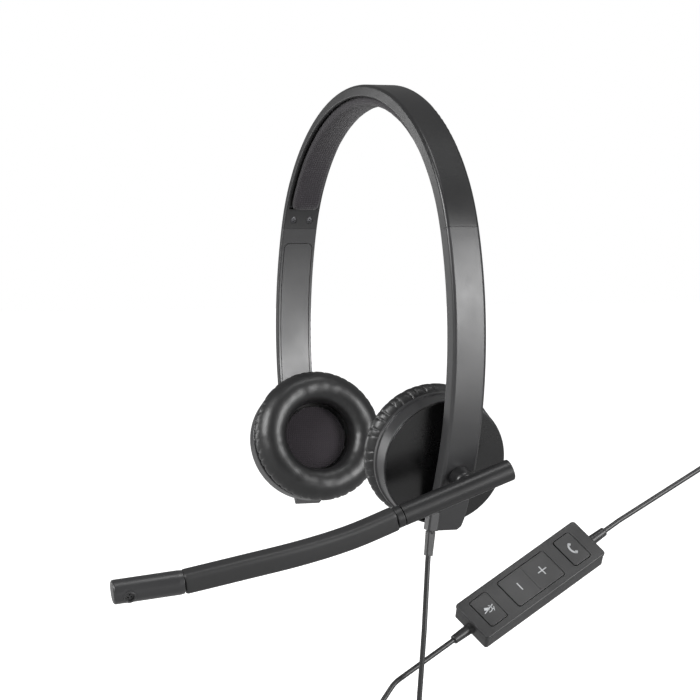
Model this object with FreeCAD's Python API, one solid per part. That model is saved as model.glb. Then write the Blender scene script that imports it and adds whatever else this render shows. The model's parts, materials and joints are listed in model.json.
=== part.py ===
"""Office headset: two on-ear cups on a sprung headband, swinging boom microphone and in-line controller.

Millimetres. The origin is the midpoint between the two ear cups. The wearer looks along -Y, +X is the
wearer's left (the boom side) and +Z is up. Every function below builds one sub-part or one family of them.
"""
import FreeCAD, Part
import math
import os
from FreeCAD import Matrix, Placement, Rotation, Vector

# ---- headband arch: tangent arcs of its outer face, each with radius, centre and end angle ----
CROWN_RADIUS, CROWN_Z, CROWN_END = 87.0, 70.15, 58.0
SHOULDER_RADIUS, SHOULDER_X, SHOULDER_Z, SHOULDER_END = 79.9, 6.06, 73.94, 73.2
ARM_RADIUS, ARM_X, ARM_Z = 162.5, -73.0, 50.1
SEAM_ANGLE = 73.6            # joint line between headband and arm, degrees from the apex
ARM_END_ANGLE = 119.7        # lower end of the arm
SEAM_LINE = 0.04             # hairline between headband and arm, degrees

# ---- headband section: depth is measured inwards from the outer face ----
BAND_DEPTH = 5.15
BAND_OUTER_WIDTH = 14.8
BAND_INNER_WIDTH = 17.0
BAND_ROUNDS = (1.5, 0.5, 0.5, 1.5)   # outer front, inner front, inner back and outer back edges
BAND_SKIN = 1.6              # outer wall
PAD_CHANNEL_WIDTH = 14.0
PAD_FRONT = 9.4              # depth of the pad's face
PAD_END_ANGLE = 66.0         # the pad stops short of the seam on each side
SCREW_ANGLE = 71.0
SCREW_SPREAD = 8.0
SCREW_SHAFT, SCREW_HEAD = 0.9, 1.6
STRIP_DEPTH, STRIP_THICK, STRIP_WIDTH = 1.95, 0.8, 11.6
STRIP_END_ANGLE = 91.0       # the strip's ends are the stems on which the arms slide
RUN_GAP = 0.06               # running clearance

# ---- lower arm ----
FERRULE_ANGLE = 2.6          # closed collar at the top of each arm
COVER_WIDTH = 13.6
COVER_THICK = 1.15
COVER_GROOVE = 0.3
COVER_CORNER = 2.4           # rounding of the cover's upper corners
COVER_TOP_ANGLE = SEAM_ANGLE + FERRULE_ANGLE
COVER_END_ANGLE = ARM_END_ANGLE - 1.6
TRAPPED_DEPTH = 3.05         # the ball stud's flange lies below the boom pin's head

# ---- ear cups: z below is the distance outwards from the rim plane ----
CUP_TILT = 13.0
LEFT_CUP_SWIVEL = -5.2
RIGHT_CUP_SWIVEL = -8.0
LEFT_CUP_CENTRE = (58.6, 0.0)          # x and y of the rim centre
RIGHT_CUP_CENTRE = (-58.0, -3.0)
RIM_RADIUS = 27.9
RIM_HEIGHT = 1.4
RIM_STEP = 0.6
CUP_FACE_Z = 9.8
CUP_FACE_RADIUS = 26.9
CUP_WALL = 1.6
DISC_THICK, DISC_INSET = 0.85, 0.55    # round cover let into the back of the cup
BALL_Z = 6.4                 # centre of the ball joint
BALL_RADIUS = 3.4
CAGE_RADIUS = 4.5
CAGE_HALF = 2.4
SOCKET_RADIUS = 6.2
SOCKET_MOUTH = 3.9
NECK_RADIUS = 1.7
CUSHION_RADIUS = 29.3
CUSHION_HOLE = 15.2
CUSHION_FRONT = -14.2
DRIVER_RADIUS = 13.3
GRILLE_Z = -3.0              # front of the speaker grille
PLATE_FRONT, PLATE_BACK = -2.4, -0.9
CUP_SCREWS = [(21.0 * math.cos(math.radians(a)), 21.0 * math.sin(math.radians(a))) for a in (90, 210, 330)]

# ---- microphone boom, on the left arm ----
HUB_ANGLE = 110.6            # where the boom pivots on the arm
HUB_RADIUS = 4.7
PIN_RADIUS = 2.0
TUBE_RADIUS = 4.5
TUBE_BORE = 3.4
TUBE_STANDOFF = 10.2         # tube axis above the arm's outer face
BOOM_DROP = 22.0             # slope of the tube below the horizontal at rest
TUBE_REAR, TUBE_FRONT = 18.2, 31.0
COLLAR_GAP, COLLAR_END = 0.3, 3.4
SLEEVE_HEIGHT, SLEEVE_WIDTH, SLEEVE_ROUND = 9.4, 7.6, 2.2
SLEEVE_JOINT = 0.5           # place of the bend joint along the sleeve
MIC_RADIUS = 5.0
MIC_LENGTH = 29.0
MIC_GAP = 0.25               # dark line between sleeve and capsule
PORT_RADIUS, PORT_TURN = 2.8, -8.0
SLEEVE_START = TUBE_FRONT + COLLAR_END + 0.15
# Centre line of the flexible sleeve in boom coordinates: forward, down, outwards.
SLEEVE_PATH = [Vector(SLEEVE_START, 0, TUBE_STANDOFF), Vector(55.0, 0, TUBE_STANDOFF),
               Vector(76.7, -2.0, 9.6),
               Vector(101.9, -5.2, 7.5), Vector(125.2, -7.85, 4.8)]
MIC_AIM = Vector(28.2, -5.4, -4.8)

# ---- cable, controller and plug ----
CABLE_RADIUS = 1.12
GLAND_TOP = Vector(70.4, -7.4, -22.0)
GLAND_AXIS = Vector(-0.10, -0.10, -1.0)
GLAND_LENGTH = 7.9
BOOT_AXIS = Vector(-0.03, -0.09, -1.0)
BOOT_LENGTH = 10.0
BOOT_BALL = 1.9              # rounded head of the strain relief, in the gland's socket
BOOT_DROP = 0.65             # centre of that head below the gland
CONTROLLER_CENTRE = Vector(57.65, 45.47, -55.68)
CONTROLLER_TURN, CONTROLLER_CLIMB, CONTROLLER_ROLL = 3.5, 29.2, 44.3
CASE_LENGTH, CASE_WIDTH, CASE_TOP, CASE_BOTTOM = 68.2, 21.0, 3.2, 6.7
CASE_WALL = 1.3
CASE_CORNER = 1.6
CASE_LIP, CASE_STEP = 1.2, 0.3         # thickness of the face plate and its overhang
CASE_BEVEL = 1.2             # slope round the back of the case
KEY_WIDTH, KEY_GAP, KEY_STAND = 14.7, 0.28, 0.35
KEY_BASE, KEY_FLANGE, KEY_CORNER = 1.0, 0.7, 1.1
KEYS = {"mute_key": (-24.2, 9.1), "volume_key": (0.0, 26.1), "call_key": (23.6, 9.1)}
KEY_SWITCHES = {"mute_key": (-24.2,), "volume_key": (-8.0, 8.0), "call_key": (23.6,)}
ROCKER_RIB = 0.5             # half-round rib on which the volume key rocks
CASE_MID_Z = -2.0
CASE_BOOT = 9.6
CONTROLLER_SCREWS = [(-29.6, 4.6), (29.6, 4.6)]
BOARD_TOP = -0.4
USB_WIDTH, USB_HEIGHT, USB_LENGTH, USB_WALL = 12.0, 4.5, 11.75, 0.3
PLUG_PLACE_X, PLUG_PLACE_Y, PLUG_TOP_Z = 48.0, 152.0, -38.0
LEAD_CREST = Vector(52.0, 149.0, -2.5)
PLUG_BODY = 24.0

OUT = "parts"
Y_AXIS = Vector(0, 1, 0)
Z_AXIS = Vector(0, 0, 1)
ZERO = Vector(0, 0, 0)


# ------------------------------------------------------------------ helpers
def save(name, shape):
    """Write one sub-part to its STEP file."""
    if not shape.isValid():
        shape.fix(1e-6, 1e-6, 1e-6)
    shape.exportStep(os.path.join(OUT, name + ".step"))


def frame_at(origin, x_dir, z_dir):
    """Placement whose local x and z axes point along the given directions."""
    z = Vector(z_dir).normalize()
    x = Vector(x_dir)
    x = (x - z * x.dot(z)).normalize()
    y = z.cross(x)
    return Placement(Matrix(x.x, y.x, z.x, origin.x, x.y, y.y, z.y, origin.y, x.z, y.z, z.z, origin.z))


def placed(shape, placement):
    """Copy of a shape carried into place."""
    return shape.transformed(placement.toMatrix(), True)


def rounded_wire(points, radii):
    """Closed wire in the XY plane through the corner points, each corner rounded by its radius."""
    if not isinstance(radii, (list, tuple)):
        radii = [radii] * len(points)
    corners = [Vector(*p) if len(p) == 3 else Vector(p[0], p[1], 0) for p in points]
    starts, ends, arcs = [], [], []
    for i, corner in enumerate(corners):
        before = (corners[i - 1] - corner).normalize()
        after = (corners[(i + 1) % len(corners)] - corner).normalize()
        radius = radii[i]
        if radius <= 0:
            starts.append(corner)
            ends.append(corner)
            arcs.append(None)
            continue
        half = math.acos(max(-1.0, min(1.0, before.dot(after)))) / 2
        reach = radius / math.tan(half)
        middle = (before + after).normalize() * (radius / math.sin(half) - radius)
        starts.append(corner + before * reach)
        ends.append(corner + after * reach)
        arcs.append(Part.Arc(starts[-1], corner + middle, ends[-1]).toShape())
    edges = []
    for i in range(len(corners)):
        if arcs[i] is not None:
            edges.append(arcs[i])
        a, b = ends[i], starts[(i + 1) % len(corners)]
        if (b - a).Length > 1e-6:
            edges.append(Part.LineSegment(a, b).toShape())
    return Part.Wire(edges)


def rounded_face(points, radii):
    return Part.Face(rounded_wire(points, radii))


def rectangle(x0, x1, y0, y1):
    return [(x0, y0), (x1, y0), (x1, y1), (x0, y1)]


def slab(x0, x1, y0, y1, z0, z1, radius=0.0):
    """Box with rounded upright corners."""
    face = rounded_face(rectangle(x0, x1, y0, y1), radius)
    face.translate(Vector(0, 0, z0))
    return face.extrude(Vector(0, 0, z1 - z0))


def rod(radius, z0, z1, x=0.0, y=0.0):
    return Part.makeCylinder(radius, z1 - z0, Vector(x, y, z0), Z_AXIS)


def turned(points, radii=0):
    """Solid of revolution about local z; the points are (radius, z)."""
    face = rounded_face(points, radii)
    face.rotate(ZERO, Vector(1, 0, 0), 90)
    return face.revolve(ZERO, Z_AXIS, 360)


def fused(shapes):
    first = shapes[0]
    return first.multiFuse(shapes[1:]).removeSplitter() if len(shapes) > 1 else first


# ------------------------------------------------------------------ arch geometry
def arch_pieces():
    """The arch's arcs as (radius, centre x, start angle, end angle, centre z), from right to left."""
    end = 135.0
    return [
        (ARM_RADIUS, -ARM_X, -end, -SHOULDER_END, ARM_Z),
        (SHOULDER_RADIUS, -SHOULDER_X, -SHOULDER_END, -CROWN_END, SHOULDER_Z),
        (CROWN_RADIUS, 0.0, -CROWN_END, CROWN_END, CROWN_Z),
        (SHOULDER_RADIUS, SHOULDER_X, CROWN_END, SHOULDER_END, SHOULDER_Z),
        (ARM_RADIUS, ARM_X, SHOULDER_END, end, ARM_Z),
    ]


def arch_normal(angle):
    a = math.radians(angle)
    return Vector(math.sin(a), 0, math.cos(a))


def arch_point(angle, depth=0.0, y=0.0):
    """Point on the arch at an angle from the apex, a depth in from its outer face."""
    for radius, cx, start, end, cz in arch_pieces():
        if start <= angle <= end:
            return Vector(cx, y, cz) + arch_normal(angle) * (radius - depth)


def arch_frame(angle, depth=0.0):
    """Local z outwards, local x down the arm, local y along Y."""
    sign = 1 if angle > 0 else -1
    n = arch_normal(angle)
    down = Vector(n.z, 0, -n.x) * sign
    return frame_at(arch_point(angle, depth), down, n)


def arch_sweep(outline, start, end, radii=0):
    """Solid with the (depth, y) outline swept along the arch between two angles."""
    parts = []
    for radius, cx, a0, a1, cz in arch_pieces():
        lo, hi = max(a0, start), min(a1, end)
        if hi - lo < 1e-6:
            continue
        n = arch_normal(lo)
        face = rounded_face(outline, radii)
        centre = Vector(cx, 0, cz)
        along = (n * -1).cross(Y_AXIS)
        face = placed(face, frame_at(centre + n * radius, n * -1, along))
        parts.append(face.revolve(centre, Y_AXIS, hi - lo))
    return fused(parts)


def band_outline(shrink=0.0):
    """Trapezoid section of headband and arms."""
    outer, inner = BAND_OUTER_WIDTH / 2 - shrink, BAND_INNER_WIDTH / 2 - shrink
    return [(0, -outer), (BAND_DEPTH, -inner), (BAND_DEPTH, inner), (0, outer)]


def strip_outline(gap=0.0):
    half = STRIP_WIDTH / 2 + gap
    return rectangle(STRIP_DEPTH - gap, STRIP_DEPTH + STRIP_THICK + gap, -half, half)


# ------------------------------------------------------------------ headband


def band_screw_places():
    for sign in (-1, 1):
        for y in (-SCREW_SPREAD / 2, SCREW_SPREAD / 2):
            place = arch_frame(sign * SCREW_ANGLE, BAND_DEPTH)
            yield placement_shift(place, y)


def placement_shift(place, y):
    return place.multiply(Placement(Vector(0, y, 0), Rotation()))


def make_headband_shell():
    shell = arch_sweep(band_outline(), -SEAM_ANGLE, SEAM_ANGLE, BAND_ROUNDS)
    half = PAD_CHANNEL_WIDTH / 2
    channel = rectangle(BAND_SKIN, BAND_DEPTH + 2, -half, half)
    shell = shell.cut(arch_sweep(channel, -PAD_END_ANGLE - 0.8, PAD_END_ANGLE + 0.8))
    shell = shell.cut(arch_sweep(strip_outline(RUN_GAP), -SEAM_ANGLE - 1, SEAM_ANGLE + 1))
    for place in band_screw_places():
        head = rod(SCREW_HEAD + RUN_GAP, -0.75, 1.0)
        shaft = rod(SCREW_SHAFT + RUN_GAP, -4.35, 0.0)
        shell = shell.cut(placed(head.fuse(shaft), place.multiply(flip_in())))
    return shell


def flip_in():
    """Turns a screw so that its head faces the wearer's head."""
    return Placement(ZERO, Rotation(Vector(0, 1, 0), 180))


def make_spring_strip():
    strip = arch_sweep(strip_outline(), -STRIP_END_ANGLE, STRIP_END_ANGLE, 0.15)
    for place in band_screw_places():
        strip = strip.cut(placed(rod(SCREW_SHAFT + 0.15, -5, 1), place.multiply(flip_in())))
    return strip


def make_band_screws():
    screws = []
    for place in band_screw_places():
        head = turned([(0, -0.7), (SCREW_HEAD, -0.7), (SCREW_HEAD, -0.1), (0, 0.1)], [0, 0, 0.2, 0])
        cross = slab(-0.9, 0.9, -0.2, 0.2, -0.35, 0.5).fuse(slab(-0.2, 0.2, -0.9, 0.9, -0.35, 0.5))
        shaft = rod(SCREW_SHAFT, -4.3, -0.7)
        screws.append(placed(head.fuse(shaft).cut(cross), place.multiply(flip_in())))
    return Part.makeCompound(screws)


def make_pad_base():
    half = PAD_CHANNEL_WIDTH / 2 - 0.25
    return arch_sweep(rectangle(2.95, 4.0, -half, half), -PAD_END_ANGLE, PAD_END_ANGLE, 0.2)


def make_head_pad():
    half, bevel = PAD_CHANNEL_WIDTH / 2 - 0.7, 1.8
    outline = [(4.1, -half), (PAD_FRONT - bevel, -half), (PAD_FRONT, bevel - half), (PAD_FRONT, half - bevel),
               (PAD_FRONT - bevel, half), (4.1, half)]
    return arch_sweep(outline, -PAD_END_ANGLE + 0.4, PAD_END_ANGLE - 0.4)


# ------------------------------------------------------------------ lower arms
def side_range(side, a, b):
    return (a, b) if side > 0 else (-b, -a)


def tab_trim(side):
    """Cutter that narrows the arm's lower end at the rear and takes off its lower rear corner."""
    outline = [(-11, 12), (-9, 7.7), (-1.7, 6.4), (0.1, 4.7), (3, 4.7), (3, 12)]
    outline = [(x, y * side) for x, y in outline]
    flank = rounded_face(outline, [0, 3, 1.2, 1.0, 0, 0])
    cutter = flank.extrude(Vector(0, 0, 14)).translated(Vector(0, 0, -9))
    return placed(cutter, arch_frame(side * ARM_END_ANGLE))


def corner_cutter(side, rear, gap):
    """Cutter that rounds one upper corner of the arm cover."""
    radius, half = COVER_CORNER + gap, COVER_WIDTH / 2 + gap
    block = slab(-1, radius, half - radius, half + 1, -BAND_DEPTH - 2, 2)
    block = block.cut(rod(radius, -BAND_DEPTH - 3, 3, radius, half - radius))
    if not rear:
        block = block.mirror(ZERO, Y_AXIS)
    drop = math.degrees(gap / ARM_RADIUS)
    return placed(block, arch_frame(side * (COVER_TOP_ANGLE - drop)))


def cover_block(side, gap, top_depth):
    """Outline of the arm cover, grown by a gap, as a solid from its back up to a depth."""
    half = COVER_WIDTH / 2 + gap
    grow = math.degrees(gap / ARM_RADIUS)
    start, end = side_range(side, COVER_TOP_ANGLE - grow, COVER_END_ANGLE + grow)
    block = arch_sweep(rectangle(BAND_DEPTH - COVER_THICK, top_depth, -half, half), start, end)
    for rear in (False, True):
        block = block.cut(corner_cutter(side, rear, gap))
    return block


def make_arm_shell(side):
    start, end = side_range(side, SEAM_ANGLE + SEAM_LINE, ARM_END_ANGLE)
    shell = arch_sweep(band_outline(), start, end, BAND_ROUNDS)
    half = COVER_WIDTH / 2 - 0.5
    start, end = side_range(side, COVER_TOP_ANGLE + 1.0, COVER_END_ANGLE - 0.3)
    shell = shell.cut(arch_sweep(rectangle(1.7, BAND_DEPTH + 1, -half, half), start, end))
    shell = shell.cut(cover_block(side, COVER_GROOVE, BAND_DEPTH + 1))
    start, end = side_range(side, SEAM_ANGLE - 1, STRIP_END_ANGLE + 1)
    shell = shell.cut(arch_sweep(strip_outline(RUN_GAP), start, end))
    shell = shell.cut(tab_trim(side))
    if side > 0:
        hub = arch_frame(HUB_ANGLE)
        shell = shell.cut(placed(rod(PIN_RADIUS, -3, 2), hub))
        shell = shell.cut(gland_block())
        shell = shell.cut(placed(rod(BOOT_BALL + 0.8, -2.2, 8), gland_frame(GLAND_LENGTH + BOOT_DROP)))
    return shell


def make_arm_cover(side):
    cover = cover_block(side, 0.0, BAND_DEPTH - 0.05)
    cover = cover.cut(tab_trim(side))
    neck = cup_place(side, 0.0)
    cover = cover.cut(placed(rod(NECK_RADIUS + 0.05, 0, 30), neck))
    if side > 0:
        cover = cover.cut(gland_block())
    return cover


def make_detent_spring(side):
    """Leaf that clicks against the stem."""
    angle = side * 84.0
    start, end = side_range(side, 80.5, 88.5)
    leaf = arch_sweep(rectangle(2.95, 3.25, -2.5, 2.5), start, end)
    bump = placed(rod(1.0, 0.2, 0.42), arch_frame(angle, 3.25))
    return leaf.fuse(bump).removeSplitter()


# ------------------------------------------------------------------ ear cups
def cup_turn(side, swivel):
    return Rotation(Z_AXIS, swivel).multiply(Rotation(Y_AXIS, side * (90 + CUP_TILT)))


def cup_place(side, swivel):
    """Local z is the cup's outward axis; the local origin is the rim centre."""
    x, y = LEFT_CUP_CENTRE if side > 0 else RIGHT_CUP_CENTRE
    rest = cup_turn(side, LEFT_CUP_SWIVEL if side > 0 else RIGHT_CUP_SWIVEL)
    turn = cup_turn(side, swivel)
    reach = Vector(0, 0, BALL_Z)
    return Placement(Vector(x, y, 0) + rest.multVec(reach) - turn.multVec(reach), turn)


def cup_rest(side):
    return cup_place(side, LEFT_CUP_SWIVEL if side > 0 else RIGHT_CUP_SWIVEL)


def ball(radius):
    return Part.makeSphere(radius, Vector(0, 0, BALL_Z))


def make_cup_shell(side):
    """Rim flange, wall and back, with the socket of the ball joint and three screw bosses."""
    back = CUP_FACE_Z - 0.3
    outer = turned([(0, -0.6), (RIM_RADIUS, -0.6), (RIM_RADIUS, RIM_HEIGHT),
                    (RIM_RADIUS - RIM_STEP, RIM_HEIGHT + 0.4), (CUP_FACE_RADIUS, back), (0, back)],
                   [0, 0.4, 0.3, 0.3, 0.4, 0])
    inside = CUP_FACE_Z - 2.6
    cavity = turned([(0, -1), (RIM_RADIUS - 2.2, -1), (CUP_FACE_RADIUS - CUP_WALL, inside), (0, inside)],
                    [0, 0, 1.2, 0])
    seat = CUP_FACE_Z - DISC_THICK - 0.05
    recess = rod(CUP_FACE_RADIUS - DISC_INSET + 0.1, seat, CUP_FACE_Z + 1)
    radius = SOCKET_RADIUS
    socket = turned([(0, 1.2), (radius - 1.4, 1.2), (radius, 2.4), (radius, seat), (0, seat)],
                    [0, 0.5, 1.0, 0, 0])
    shell = outer.cut(cavity).cut(recess)
    for x, y in CUP_SCREWS:
        shell = shell.fuse(rod(2.3, -0.6, inside + 0.2, x, y))
    shell = shell.fuse(socket).cut(ball(CAGE_RADIUS + RUN_GAP))
    shell = shell.cut(rod(SOCKET_MOUTH, BALL_Z, CUP_FACE_Z + 2))
    for x, y in CUP_SCREWS:
        shell = shell.cut(rod(0.9, -1, 4.0, x, y))
    return placed(shell.removeSplitter(), cup_rest(side))


def make_cup_disc(side):
    inner, outer = SOCKET_MOUTH + 0.3, CUP_FACE_RADIUS - DISC_INSET
    low = CUP_FACE_Z - DISC_THICK
    disc = turned([(inner, low), (outer, low), (outer, CUP_FACE_Z), (inner, CUP_FACE_Z)], [0, 0, 0.3, 0.3])
    return placed(disc, cup_rest(side))


def make_pivot_cage(side):
    """Liner ring between the stud's ball and the cup's socket."""
    ring = ball(CAGE_RADIUS).cut(ball(BALL_RADIUS + RUN_GAP))
    keep = rod(10, BALL_Z - CAGE_HALF, BALL_Z + CAGE_HALF)
    return placed(ring.common(keep), cup_place(side, 0.0))


def make_ball_stud(side):
    """Ball, neck and the flange that is trapped inside the arm."""
    place = cup_place(side, 0.0)
    stud = placed(ball(BALL_RADIUS).fuse(rod(NECK_RADIUS, BALL_Z, 28)), place)
    start, end = side_range(side, 95.0, 122.0)
    room = arch_sweep(rectangle(TRAPPED_DEPTH, BAND_DEPTH + 30, -12, 12), start, end)
    inside = arch_sweep(rectangle(TRAPPED_DEPTH, BAND_DEPTH - COVER_THICK - 0.05, -6, 6), start, end)
    flange = placed(rod(3.0, 10, 30), place).common(inside)
    return stud.common(room).fuse(flange).removeSplitter()


def make_baffle(side):
    """Plate under the cushion, with the speaker grille standing slightly proud of it."""
    edge = RIM_RADIUS - 1.0
    plate = turned([(DRIVER_RADIUS, PLATE_FRONT), (edge, PLATE_FRONT), (edge, PLATE_BACK),
                    (DRIVER_RADIUS, PLATE_BACK)], [0, 0.3, 0.3, 0])
    wall = DRIVER_RADIUS + 0.1
    tower = turned([(0, GRILLE_Z), (wall + 1.2, GRILLE_Z), (wall + 1.2, PLATE_BACK), (wall, PLATE_BACK),
                    (wall, GRILLE_Z + 0.9), (0, GRILLE_Z + 0.9)], [0, 0.3, 0, 0, 0, 0])
    baffle = plate.fuse(tower).removeSplitter()
    for radius, count in ((0.0, 1), (3.6, 6), (7.2, 12), (10.6, 16)):
        for i in range(count):
            a = 2 * math.pi * i / count
            baffle = baffle.cut(rod(0.8, -8, -1, radius * math.cos(a), radius * math.sin(a)))
    for x, y in CUP_SCREWS:
        baffle = baffle.cut(rod(1.15, -3, 0, x, y)).cut(rod(2.0, -3, -1.9, x, y))
    return placed(baffle, cup_rest(side))


def make_driver_frame(side):
    frame = turned([(0, -1.4), (10.2, -1.4), (10.8, -2.0), (DRIVER_RADIUS, -2.0), (DRIVER_RADIUS, -1.1),
                    (11.4, -0.4), (9.2, -0.1), (0, -0.1)], 0)
    return placed(frame, cup_rest(side))


def make_driver_magnet(side):
    magnet = turned([(0, -0.1), (8.2, -0.1), (8.2, 1.1), (0, 1.1)], [0, 0, 0.4, 0])
    return placed(magnet, cup_rest(side))


def make_speaker_cloth(side):
    cloth = turned([(0, GRILLE_Z - 0.7), (13.0, GRILLE_Z - 0.7), (14.3, GRILLE_Z - 0.1), (0, GRILLE_Z - 0.1)],
                   [0, 0.8, 0, 0])
    return placed(cloth, cup_rest(side))


def make_cushion(side):
    back = PLATE_FRONT - 0.1
    section = [(CUSHION_HOLE, back), (26.6, back), (CUSHION_RADIUS, -5.2), (CUSHION_RADIUS, -10.2),
               (25.0, CUSHION_FRONT), (19.4, CUSHION_FRONT), (CUSHION_HOLE - 0.2, -9.6)]
    cushion = turned(section, [0.4, 1.0, 2.0, 3.5, 4.5, 4.0, 3.0])
    return placed(cushion, cup_rest(side))


def make_cup_screws(side):
    screws = []
    for x, y in CUP_SCREWS:
        screw = rod(0.88, -1.9, 3.6, x, y).fuse(rod(1.7, -2.4, -1.9, x, y))
        screws.append(screw.cut(slab(x - 1.1, x + 1.1, y - 0.2, y + 0.2, -2.6, -2.2)).removeSplitter())
    return placed(Part.makeCompound(screws), cup_rest(side))


# ------------------------------------------------------------------ microphone boom
def boom_place():
    """Local x runs forward along the tube, z outwards from the arm; the origin is on the arm's face."""
    place = arch_frame(HUB_ANGLE)
    return place.multiply(Placement(ZERO, Rotation(Z_AXIS, -90 + BOOM_DROP)))


def along_x(shape):
    """Turns a solid built along local z so that it runs along local x."""
    return placed(shape, Placement(ZERO, Rotation(Y_AXIS, 90)))


def tube_rod(radius, x0, x1):
    return along_x(rod(radius, x0, x1)).translated(Vector(0, 0, TUBE_STANDOFF))


def make_pivot_pin():
    head = rod(3.6, -3.0, -1.75)
    shaft = rod(PIN_RADIUS - 0.05, -1.75, TUBE_STANDOFF - TUBE_RADIUS - 0.4)
    return placed(head.fuse(shaft).removeSplitter(), boom_place())


def make_boom_washer():
    ring = rod(HUB_RADIUS - 0.3, 0.08, 0.5).cut(rod(PIN_RADIUS + 0.02, 0, 1))
    return placed(ring, boom_place())


def make_boom_hub():
    body = turned([(0, 0.55), (HUB_RADIUS, 0.55), (HUB_RADIUS, 7.0), (0, 9.0)], [0, 0.3, 2.2, 0])
    bore = rod(PIN_RADIUS, 0, TUBE_STANDOFF - TUBE_RADIUS - 0.35)
    return placed(body.cut(bore).cut(tube_rod(TUBE_RADIUS, -12, 12)), boom_place())


def make_boom_tube():
    tube = tube_rod(TUBE_RADIUS, -TUBE_REAR, TUBE_FRONT)
    bore = tube_rod(TUBE_BORE, -TUBE_REAR - 1, TUBE_FRONT + 1)
    return placed(tube.cut(bore), boom_place())


def make_boom_end_cap():
    plug = TUBE_BORE - 0.05
    cap = turned([(0, -0.9), (TUBE_RADIUS, -0.9), (TUBE_RADIUS, 0), (plug, 0), (plug, 4), (0, 4)],
                 [0, 0.45, 0, 0, 0.4, 0])
    cap = along_x(cap).translated(Vector(-TUBE_REAR, 0, TUBE_STANDOFF))
    return placed(cap, boom_place())


def make_boom_collar():
    ring = turned([(0, COLLAR_GAP), (TUBE_RADIUS, COLLAR_GAP), (TUBE_RADIUS, COLLAR_END), (0, COLLAR_END)],
                  [0, 0.3, 0.5, 0])
    plug = rod(TUBE_BORE - 0.05, -7, COLLAR_GAP)
    core = rod(1.0, -8, 4)
    collar = along_x(ring.fuse(plug).cut(core).removeSplitter())
    return placed(collar.translated(Vector(TUBE_FRONT, 0, TUBE_STANDOFF)), boom_place())


def sleeve_curve():
    """The sleeve leaves the collar exactly along the tube."""
    curve = Part.BSplineCurve()
    curve.interpolate(Points=SLEEVE_PATH, InitialTangent=Vector(1, 0, 0), FinalTangent=MIC_AIM)
    return curve


def sleeve_frame(curve, t):
    """Section frame on the curve: local z along it, local y up."""
    first, last = curve.FirstParameter, curve.LastParameter
    u = first + (last - first) * t
    tangent = Vector(curve.tangent(u)[0])
    return frame_at(curve.value(u), Vector(0, 0, 1), tangent)


def sleeve_section(place):
    half_width, half_height = SLEEVE_WIDTH / 2, SLEEVE_HEIGHT / 2
    wire = rounded_wire(rectangle(-half_width, half_width, -half_height, half_height), SLEEVE_ROUND)
    return placed(wire, place)


def sleeve_part(t0, t1, steps=4):
    curve = sleeve_curve()
    wires = [sleeve_section(sleeve_frame(curve, t0 + (t1 - t0) * i / steps)) for i in range(steps + 1)]
    return Part.makeLoft(wires, True)


def bend_frame():
    """The bend joint: local z is its axis, local x points forward along the sleeve."""
    curve = sleeve_curve()
    place = sleeve_frame(curve, SLEEVE_JOINT)
    tangent = place.Rotation.multVec(Z_AXIS)
    return frame_at(place.Base, tangent, place.Rotation.multVec(Y_AXIS))


def make_sleeve_rear():
    body = sleeve_part(0.0, SLEEVE_JOINT + 0.06)
    hinge = bend_frame()
    clear = rod(SLEEVE_WIDTH / 2 + 0.15, -10, 10).fuse(slab(0, 20, -12, 12, -10, 10))
    for sign in (-1, 1):
        wedge = slab(0, 30, -12, 12, -10, 10)
        wedge.rotate(ZERO, Z_AXIS, sign * 24)
        clear = clear.fuse(wedge)
    body = body.cut(placed(clear, hinge))
    return placed(body.cut(core_rod()), boom_place())


def make_sleeve_front():
    hinge = bend_frame()
    body = sleeve_part(SLEEVE_JOINT - 0.06, 1.0)
    back = placed(slab(-30, 0, -12, 12, -10, 10), hinge)
    knuckle = placed(rod(SLEEVE_WIDTH / 2 - 0.05, -SLEEVE_HEIGHT / 2 + 0.2, SLEEVE_HEIGHT / 2 - 0.2), hinge)
    return placed(body.cut(back).fuse(knuckle).removeSplitter(), boom_place())


def core_rod():
    """Run of the bendable wire from the collar into the sleeve."""
    curve = sleeve_curve()
    place = sleeve_frame(curve, 0.0)
    return placed(rod(0.95, -9, 14), place)


def make_boom_core():
    curve = sleeve_curve()
    place = sleeve_frame(curve, 0.0)
    return placed(placed(rod(0.9, -7.8, 13.5), place), boom_place())


def mic_frame():
    """Local z runs forward along the capsule."""
    curve = sleeve_curve()
    place = sleeve_frame(curve, 1.0)
    tangent = place.Rotation.multVec(Z_AXIS)
    return boom_place().multiply(frame_at(place.Base + tangent * MIC_GAP, Vector(0, 0, 1), MIC_AIM))


def mic_port_place():
    """Port ring near the tip, on the side that faces away from the wearer's cheek."""
    turn = Rotation(Z_AXIS, PORT_TURN)
    return mic_frame().multiply(Placement(ZERO, turn)).multiply(
        frame_at(Vector(MIC_RADIUS, 0, MIC_LENGTH - 6.4), Vector(0, 1, 0), Vector(1, 0, 0)))


def make_mic_housing():
    radius, length = MIC_RADIUS, MIC_LENGTH
    body = turned([(0, 0), (radius - 0.2, 0), (radius, 2.0), (radius, length), (0, length)],
                  [0, 0.3, 0, 1.1, 0])
    room = rod(3.6, length - 12, length - 1.4)
    body = placed(body.cut(room), mic_frame())
    return body.cut(placed(rod(PORT_RADIUS + 0.05, -2.6, 3), mic_port_place()))


def make_mic_port():
    ring = turned([(0, -2.0), (PORT_RADIUS, -2.0), (PORT_RADIUS, -0.1), (PORT_RADIUS - 0.45, 0.15),
                   (PORT_RADIUS - 0.9, -0.1), (PORT_RADIUS - 1.1, -0.8), (0, -0.8)], 0)
    for angle in (0, 120, 240):
        hole = rod(0.35, -3, 1, 0.8 * math.cos(math.radians(angle)), 0.8 * math.sin(math.radians(angle)))
        ring = ring.cut(hole)
    return placed(ring, mic_port_place())


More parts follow.
